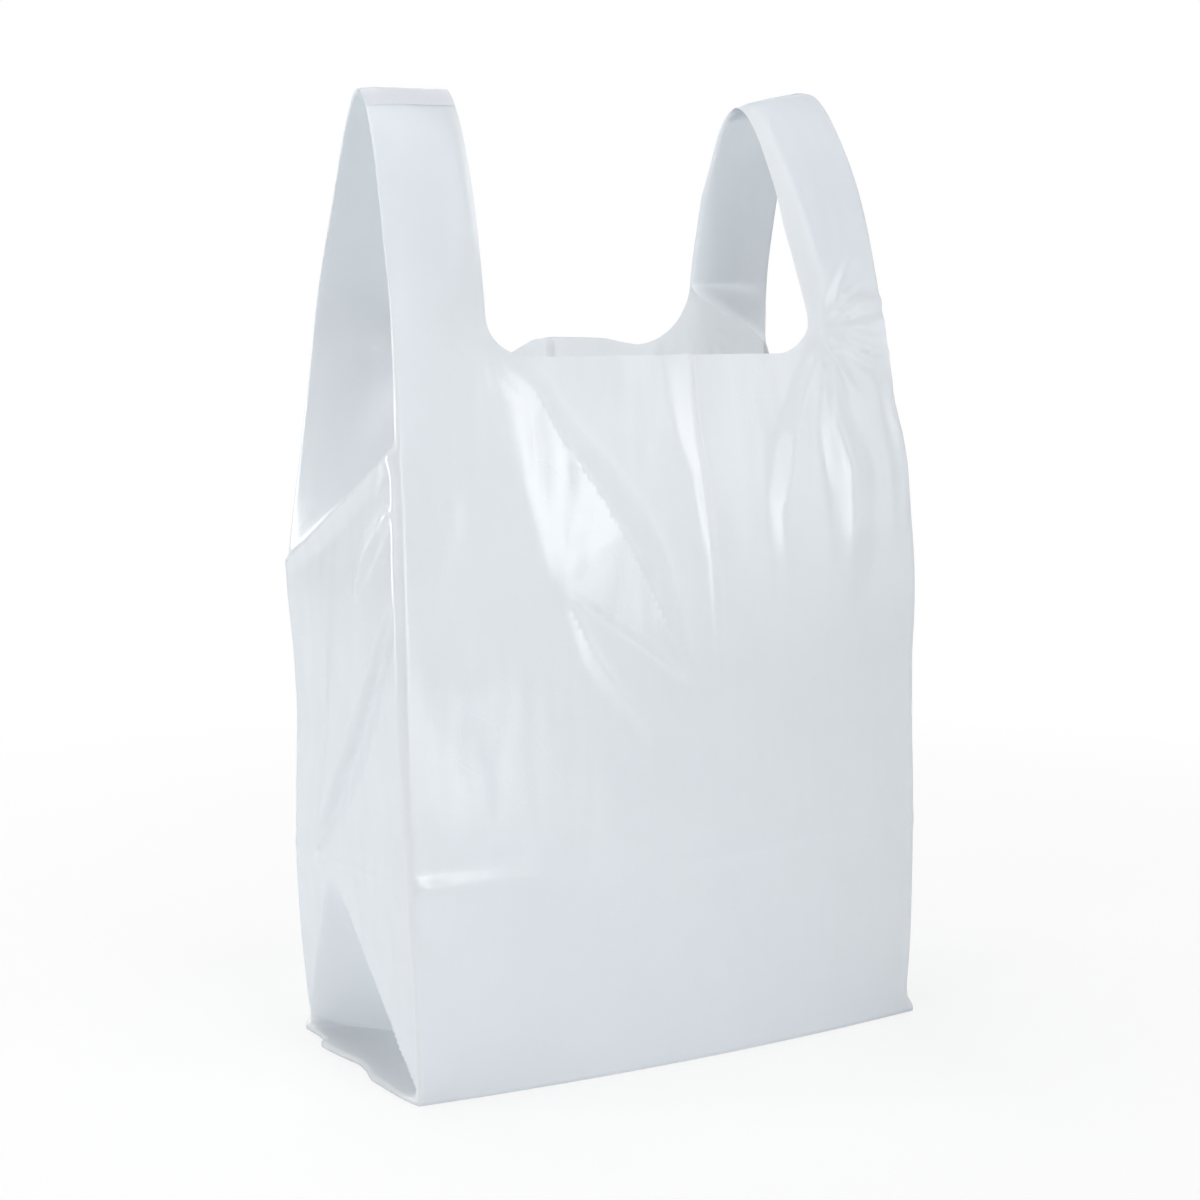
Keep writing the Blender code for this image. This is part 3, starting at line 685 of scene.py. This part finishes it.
def floor_faces(shape, verts, edge, chart):
    """The square floor inside the lowest row, with the welded seam lifted along its middle."""
    wide, deep = len(FACE_COLUMNS) - 1, len(SIDE_COLUMNS) - 1
    total = 2 * (wide + deep)
    front = list(range(wide + 1))
    right = list(range(wide, wide + deep + 1))
    back = list(reversed(range(wide + deep, 2 * wide + deep + 1)))
    left = [0] + list(reversed(range(2 * wide + deep, total)))
    lines = [[verts[0, c] for c in front]]
    for j in range(1, deep):
        share = SIDE_COLUMNS[j] / (2.0 * GUSSET)
        line = [verts[0, left[j]]]
        start, end = edge[left[j]], edge[right[j]]
        for i in range(1, wide):
            across = FACE_COLUMNS[i] / WIDTH
            sides = edge[front[i]] * (1 - share) + edge[back[i]] * share
            ends = start * (1 - across) + end * across
            straight = edge[0] * (1 - across) * (1 - share) + edge[wide] * across * (1 - share)
            straight = straight + edge[back[0]] * (1 - across) * share
            straight = straight + edge[back[wide]] * across * share
            point = sides + (ends - straight)
            inside = abs(point[0]) < WIDTH / 2 - 2.0 * HOLLOW_DEPTH
            off = abs(share - 0.5) * 2.0 * GUSSET
            lift = min(max((SEAM_REACH - off) / SEAM_RAMP, 0.0), 1.0)
            point[2] = SEAM_LIFT * lift if inside else 0.0
            line.append(shape.verts.new(point))
        line.append(verts[0, right[j]])
        lines.append(line)
    lines.append([verts[0, c] for c in back])
    for low, high in zip(lines, lines[1:]):
        for i in range(wide):
            face = shape.faces.new((low[i], high[i], high[i + 1], low[i + 1]))
            for loop in face.loops:
                loop[chart].uv = (loop.vert.co.x, loop.vert.co.y - GUSSET)


def linear(hex_colour):
    """A written sRGB colour as the linear values that the shaders want."""
    shares = [int(hex_colour[k:k + 2], 16) / 255.0 for k in (1, 3, 5)]
    return tuple(s / 12.92 if s <= 0.04045 else ((s + 0.055) / 1.055) ** 2.4 for s in shares) + (1.0,)


# The sockets of a Mix node for colours, which share their names with others on it.
MIX_SHARE, MIX_A, MIX_B, MIXED = 0, 6, 7, 2


def node(tree, kind, links=(), values=None, **settings):
    """Adds a node, sets its properties and input values, and links others into it: a socket, or a
    node's first output. An input goes by its name, or by number where others share the name."""
    made = tree.nodes.new(kind)
    for name, value in settings.items():
        setattr(made, name, value)
    for name, value in (values or {}).items():
        made.inputs[name].default_value = value
    for name, source in links:
        output = source.outputs[0] if isinstance(source, bpy.types.Node) else source
        tree.links.new(output, made.inputs[name])
    return made


HDPE_IOR = 1.54
FILM_THIN, FILM_DENSE = "#F1F5F8", "#F5F8FB"     # the film's own white where it is thin and dense
FILM_WHITENED_AND_PAINTED_LIGHT = "#FBFCFD"    # and where the crease layer whitens it: stress whitening on the folds, with a painted highlight there and painted light on the flaps
FILM_THROUGH = 0.50      # share of the light that passes through
FILM_SMOOTH, FILM_DULL = 0.215, 0.268            # roughness, which follows the thickness
CLOUDS = 17.0            # thick and thin places per metre, 59 mm each
DIE_LINES = (420.0, 14.0, 1.0)   # per metre: lines 2.4 mm wide, drawn coarser than the real ones
DIE_LINE_DEPTH = 0.00012
CRACKLE = 62.0           # creased cells per metre, 16 mm each
CRACKLE_LINE = 0.045     # width of a line between them, as a share of a cell
CRACKLE_DEPTH = 0.00020


def film_material():
    """White blown HDPE film: milky, so that half of the light comes through without a picture,
    with a soft waxy gloss, fine upright die lines and a faint crackle from handling."""
    material = bpy.data.materials.new("white_hdpe_film")
    material.use_nodes = True
    tree = material.node_tree
    tree.nodes.clear()
    chart = node(tree, "ShaderNodeUVMap", uv_map="film").outputs["UV"]
    upright_map = node(tree, "ShaderNodeMapping", [("Vector", chart)], values={"Scale": DIE_LINES})
    lines = node(tree, "ShaderNodeTexNoise", [("Vector", upright_map)],
                 values={"Scale": 1.0, "Detail": 3.0, "Roughness": 0.55})
    cloud = node(tree, "ShaderNodeTexNoise", [("Vector", chart)],
                 values={"Scale": CLOUDS, "Detail": 2.0, "Roughness": 0.5})
    crackle = node(tree, "ShaderNodeTexVoronoi", [("Vector", chart)], feature="DISTANCE_TO_EDGE",
                   values={"Scale": CRACKLE, "Randomness": 1.0})
    sharp = node(tree, "ShaderNodeMapRange", [("Value", crackle)],
                 values={"From Min": 0.0, "From Max": CRACKLE_LINE, "To Min": 1.0, "To Max": 0.0})
    grain = node(tree, "ShaderNodeBump", [("Height", lines)],
                 values={"Strength": 0.25, "Distance": DIE_LINE_DEPTH})
    skin = node(tree, "ShaderNodeBump", [("Height", sharp), ("Normal", grain)],
                values={"Strength": 0.10, "Distance": CRACKLE_DEPTH})
    rough = node(tree, "ShaderNodeMapRange", [("Value", cloud)],
                 values={"From Min": 0.2, "From Max": 0.8, "To Min": FILM_SMOOTH, "To Max": FILM_DULL})
    tone = node(tree, "ShaderNodeMix", [(MIX_SHARE, cloud)],
                values={MIX_A: linear(FILM_THIN), MIX_B: linear(FILM_DENSE)}, data_type="RGBA")
    # The crease layer mixes in the whiter colour: stress whitening and a painted highlight along the folds,
    # and painted light on the flaps.
    bent = node(tree, "ShaderNodeAttribute", attribute_name="crease").outputs["Fac"]
    whitened_and_painted_light = node(tree, "ShaderNodeMix", [(MIX_SHARE, bent), (MIX_A, tone.outputs[MIXED])],
                    values={MIX_B: linear(FILM_WHITENED_AND_PAINTED_LIGHT)}, data_type="RGBA")
    colour = whitened_and_painted_light.outputs[MIXED]
    surface = node(tree, "ShaderNodeBsdfPrincipled",
                   [("Base Color", colour), ("Roughness", rough), ("Normal", skin)],
                   values={"IOR": HDPE_IOR, "Specular IOR Level": 1.0, "Metallic": 0.0})
    through = node(tree, "ShaderNodeBsdfTranslucent", [("Color", colour), ("Normal", skin)])
    milk = node(tree, "ShaderNodeMixShader", [(1, surface), (2, through)], values={"Fac": FILM_THROUGH})
    node(tree, "ShaderNodeOutputMaterial", [("Surface", milk)])
    return material


film_tube = bpy.data.objects.new("film_tube", film_mesh())
bpy.context.scene.collection.objects.link(film_tube)
film_tube.data.materials.append(film_material())
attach(film_tube, "root")
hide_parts("carrier_bag")

# The welds. A hot bar closes the tube across the top of each handle and across the bottom, and
# leaves a narrow band where the layers have run together: whiter, stiffer and a little cockled.
# The left handle's weld is folded to the front and the right one's to the back.

WELD_WIDTH = 0.0125
WELD_INSET = 0.0016      # the band stops this far from the outer fold
WELD_CREST = 0.0012      # this far below the handle's top
WELD_EDGE = 0.0004       # and this far from the stamped edge
WELD_LIFT = 0.00016      # clear of the film under it
WELD_THICKNESS = 0.00016
WELD_COCKLE, WELD_PITCH = 0.00015, 0.004     # height and length of its cockles
WELD_THIN, WELD_DENSE = "#F0F3F8", "#F6F8FC"
WELD_MOTTLE = 900.0      # dense spots per metre, 1.1 mm each
WELD_THROUGH = 0.30      # share of the light that passes through
WELD_ACROSS, WELD_ALONG = 10, 36     # faces of a band's grid
FIN = ((-0.072, 0.072), (-0.0045, 0.0040))   # the bottom weld's fin, in x and y
FIN_HEIGHT = 0.00070     # in the groove under the arched floor
FIN_LIFT = 0.0001


def grid_mesh(name, places):
    """A sheet of quads over rows of places."""
    rows, columns = places.shape[:2]
    faces = [(i * columns + j, i * columns + j + 1, (i + 1) * columns + j + 1, (i + 1) * columns + j)
             for i in range(rows - 1) for j in range(columns - 1)]
    mesh = bpy.data.meshes.new(name)
    mesh.from_pydata([tuple(place) for place in places.reshape(-1, 3)], [], faces)
    return mesh


def handle_weld(name, face, side):
    """The patch of a strip just below the top of its handle, where the band lies."""
    ups = np.linspace(TOP - WELD_WIDTH, TOP - WELD_CREST, WELD_ACROSS + 1)
    near = np.linspace(WELD_INSET, STRAP_WIDTH - WELD_EDGE, WELD_ALONG + 1)
    across, up = np.meshgrid(near if side == "left" else WIDTH - near, ups)
    places = face_place(face, across, up) - np.array((CENTRE[0], CENTRE[1], 0.0))
    flip = (face == "front") != (side == "left")
    return grid_mesh(name, places[:, ::-1] if flip else places)


def bottom_weld(name):
    """The patch under the floor where the fin of the bottom weld lies."""
    along = np.linspace(*FIN[0], 3 * WELD_ALONG + 1)
    x, y = np.meshgrid(along, np.linspace(*FIN[1], WELD_ACROSS + 1))
    return grid_mesh(name, np.stack((x, y, np.full_like(x, FIN_HEIGHT)), axis=-1)[::-1])


def weld_material():
    """Film fused by heat: denser and milkier than the single sheet, with a smoother face."""
    material = bpy.data.materials.new("fused_hdpe_weld")
    material.use_nodes = True
    tree = material.node_tree
    tree.nodes.clear()
    place = node(tree, "ShaderNodeTexCoord").outputs["Object"]
    mottle = node(tree, "ShaderNodeTexNoise", [("Vector", place)],
                  values={"Scale": WELD_MOTTLE, "Detail": 2.0})
    tone = node(tree, "ShaderNodeMix", [(MIX_SHARE, mottle)],
                values={MIX_A: linear(WELD_THIN), MIX_B: linear(WELD_DENSE)}, data_type="RGBA")
    dimple = node(tree, "ShaderNodeBump", [("Height", mottle)],
                  values={"Strength": 0.25, "Distance": 0.0002})
    surface = node(tree, "ShaderNodeBsdfPrincipled",
                   [("Base Color", tone.outputs[MIXED]), ("Normal", dimple)],
                   values={"IOR": HDPE_IOR, "Roughness": 0.26, "Metallic": 0.0})
    through = node(tree, "ShaderNodeBsdfTranslucent", [("Color", tone.outputs[MIXED])])
    weld = node(tree, "ShaderNodeMixShader", [(1, surface), (2, through)], values={"Fac": WELD_THROUGH})
    node(tree, "ShaderNodeOutputMaterial", [("Surface", weld)])
    return material


def weld_tree(material):
    """Raises a patch off the film by Lift, makes it Thickness thick, and cockles it."""
    tree = bpy.data.node_groups.new("weld_band", "GeometryNodeTree")
    tree.interface.new_socket("Geometry", in_out="INPUT", socket_type="NodeSocketGeometry")
    sizes = (("Lift", WELD_LIFT), ("Thickness", WELD_THICKNESS), ("Cockle", WELD_COCKLE),
             ("Pitch", WELD_PITCH), ("Seed", 3.0))
    for name, value in sizes:
        tree.interface.new_socket(name, in_out="INPUT", socket_type="NodeSocketFloat").default_value = value
    tree.interface.new_socket("Geometry", in_out="OUTPUT", socket_type="NodeSocketGeometry")
    given = node(tree, "NodeGroupInput").outputs
    normal = node(tree, "GeometryNodeInputNormal").outputs["Normal"]
    place = node(tree, "GeometryNodeInputPosition").outputs["Position"]
    per_pitch = node(tree, "ShaderNodeMath", [(1, given["Pitch"])], values={0: 1.0}, operation="DIVIDE")
    noise = node(tree, "ShaderNodeTexNoise",
                 [("Vector", place), ("W", given["Seed"]), ("Scale", per_pitch)],
                 values={"Detail": 1.0}, noise_dimensions="4D")
    height = node(tree, "ShaderNodeMath", [(0, noise), (1, given["Cockle"]), (2, given["Lift"])],
                  operation="MULTIPLY_ADD")
    up = node(tree, "ShaderNodeVectorMath", [(0, normal), ("Scale", height)], operation="SCALE")
    raised = node(tree, "GeometryNodeSetPosition",
                  [("Geometry", given["Geometry"]), ("Offset", up)]).outputs["Geometry"]
    top = node(tree, "GeometryNodeExtrudeMesh", [("Mesh", raised), ("Offset Scale", given["Thickness"])],
               values={"Individual": False}, mode="FACES")
    under = node(tree, "GeometryNodeFlipFaces", [("Mesh", raised)])
    both = node(tree, "GeometryNodeJoinGeometry", [("Geometry", top), ("Geometry", under)])
    closed = node(tree, "GeometryNodeMergeByDistance", [("Geometry", both)], values={"Distance": 0.00001})
    real = node(tree, "GeometryNodeRealizeInstances", [("Geometry", closed)])
    dressed = node(tree, "GeometryNodeSetMaterial", [("Geometry", real)], values={"Material": material})
    node(tree, "NodeGroupOutput", [("Geometry", dressed)])
    return tree


def made_by(tree, name, mesh, **inputs):
    """Runs a node tree on a mesh and keeps the result as a plain object."""
    patch = bpy.data.objects.new(name, mesh)
    bpy.context.scene.collection.objects.link(patch)
    modifier = patch.modifiers.new("shape", "NODES")
    modifier.node_group = tree
    for item in tree.interface.items_tree:
        if item.in_out == "INPUT" and item.name in inputs:
            modifier[item.identifier] = inputs[item.name]
    shaped = bpy.data.meshes.new_from_object(patch.evaluated_get(bpy.context.evaluated_depsgraph_get()))
    patch.modifiers.remove(modifier)
    patch.data = shaped
    bpy.data.meshes.remove(mesh)
    return patch


weld_band = weld_tree(weld_material())
left_patch = handle_weld("left_top_weld_patch", "front", "left")
right_patch = handle_weld("right_top_weld_patch", "back", "right")
welds = [
    made_by(weld_band, "left_top_weld", left_patch, Seed=3.0),
    made_by(weld_band, "right_top_weld", right_patch, Seed=8.0),
    made_by(weld_band, "bottom_weld", bottom_weld("bottom_weld_patch"), Seed=5.0, Lift=FIN_LIFT),
]
for weld in welds:
    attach(weld, "root")

# The stand. It isn't part of the bag: a white paper sweep, pale enough that the film's own
# greys carry the picture, and it keeps the soft shadow under the floor.

SWEEP = 6.0              # the paper reaches this far each way
SWEEP_DROP = -0.0004     # and lies this much lower than the bag
SEEN_NEAR, SEEN_FAR = 0.15, 0.9      # round the bag the paper shows its shadow, and then fades
SEEN_WHITE = 0.72        # share of plain white that the camera sees nearest the bag

floor_mesh = bpy.data.meshes.new("paper_sweep")
corners = [(x * SWEEP, y * SWEEP, SWEEP_DROP) for x, y in ((-1, -1), (1, -1), (1, 1), (-1, 1))]
floor_mesh.from_pydata(corners, [], [(0, 1, 2, 3)])
paper_sweep = bpy.data.objects.new("paper_sweep", floor_mesh)
bpy.context.scene.collection.objects.link(paper_sweep)
paper = bpy.data.materials.new("white_paper")
paper.use_nodes = True
paper_tree = paper.node_tree
paper_tree.nodes.clear()
rays = node(paper_tree, "ShaderNodeLightPath")
ground = node(paper_tree, "ShaderNodeTexCoord").outputs["Object"]
far = node(paper_tree, "ShaderNodeVectorMath", [(0, ground)], operation="LENGTH").outputs["Value"]
fade = node(paper_tree, "ShaderNodeMapRange", [("Value", far)],
            values={"From Min": SEEN_NEAR, "From Max": SEEN_FAR, "To Min": SEEN_WHITE, "To Max": 1.0})
seen = node(paper_tree, "ShaderNodeMath", [(0, rays.outputs["Is Camera Ray"]), (1, fade)],
            operation="MULTIPLY")
lit = node(paper_tree, "ShaderNodeBsdfDiffuse", values={"Color": linear("#FAFAFA")})
glow = node(paper_tree, "ShaderNodeEmission", values={"Color": linear("#FFFFFF"), "Strength": 1.0})
blend = node(paper_tree, "ShaderNodeMixShader", [("Fac", seen), (1, lit), (2, glow)])
node(paper_tree, "ShaderNodeOutputMaterial", [("Surface", blend)])
floor_mesh.materials.append(paper)

# The studio. The camera and the gloss see white surroundings, and a dim world lights the rest.
# Soft lamps stand at the left, in front, at the right, above and behind. A small low one in front
# puts a gloss on the folds that face left, as in the photo.

DIM_WORLD = 0.07

world = bpy.data.worlds.new("studio")
bpy.context.scene.world = world
world.use_nodes = True
world_tree = world.node_tree
world_tree.nodes.clear()
world_rays = node(world_tree, "ShaderNodeLightPath")
gloss_or_camera = node(world_tree, "ShaderNodeMath",
                       [(0, world_rays.outputs["Is Camera Ray"]), (1, world_rays.outputs["Is Glossy Ray"])],
                       operation="MAXIMUM")
dim = node(world_tree, "ShaderNodeBackground", values={"Color": linear("#F8FAFC"), "Strength": DIM_WORLD})
white = node(world_tree, "ShaderNodeBackground", values={"Color": linear("#FFFFFF"), "Strength": 1.0})
sky = node(world_tree, "ShaderNodeMixShader", [("Fac", gloss_or_camera), (1, dim), (2, white)])
node(world_tree, "ShaderNodeOutputWorld", [("Surface", sky)])


# Each lamp: (name, place, height on the bag's middle line that it is aimed at, size, watts).
LAMPS = (
    ("window", (-1.35, -0.55, 0.95), 0.24, (0.5, 1.0), 4.2),
    ("left_back", (-1.5, 0.75, 0.35), 0.22, (0.6, 0.6), 13.0),
    ("strip", (0.08, -1.55, 0.50), 0.26, (0.30, 0.9), 5.8),
    ("low_strip", (0.05, -0.85, 0.07), 0.27, (0.34, 0.10), 0.38),
    ("right_front", (1.3, -1.1, 0.8), 0.26, (0.8, 0.8), 3.0),
    ("high", (0.15, -1.0, 1.75), 0.26, (1.0, 0.8), 7.5),
    ("over", (0.0, 0.15, 2.0), 0.26, (1.0, 1.0), 12.5),
    ("behind", (-0.1, 1.3, 1.2), 0.3, (1.2, 0.9), 7.5),
)


def lamp(name, place, aim, size, power):
    """A soft white lamp that faces a point on the bag's middle line."""
    light = bpy.data.lights.new(name, "AREA")
    light.shape = "RECTANGLE"
    light.size, light.size_y = size
    light.energy = power
    made = bpy.data.objects.new(name, light)
    made.location = place
    made.rotation_euler = (Vector((0.0, 0.0, aim)) - Vector(place)).to_track_quat("-Z", "Y").to_euler()
    bpy.context.scene.collection.objects.link(made)


for settings in LAMPS:
    lamp(*settings)

# The camera. It stands 1.1 m from the bag, where the photo's own perspective puts it: turned to the
# right and looking a little down.

CAMERA_PLACE = (-0.578968, -0.985127, 0.370482)
CAMERA_YAW, CAMERA_PITCH = 30.135, 7.694     # degrees to the right and down
CAMERA_LENS, CAMERA_SENSOR = 69.46, 36.0     # mm
camera_data = bpy.data.cameras.new("camera")
camera_data.lens = CAMERA_LENS
camera_data.sensor_width = CAMERA_SENSOR
camera_data.clip_start = 0.05
camera = bpy.data.objects.new("camera", camera_data)
camera.location = (CAMERA_PLACE[0] - CENTRE[0], CAMERA_PLACE[1] - CENTRE[1], CAMERA_PLACE[2])
camera.rotation_euler = (math.radians(90.0 - CAMERA_PITCH), 0.0, math.radians(-CAMERA_YAW))
bpy.context.scene.collection.objects.link(camera)
bpy.context.scene.camera = camera
bpy.context.scene.view_settings.view_transform = "Standard"
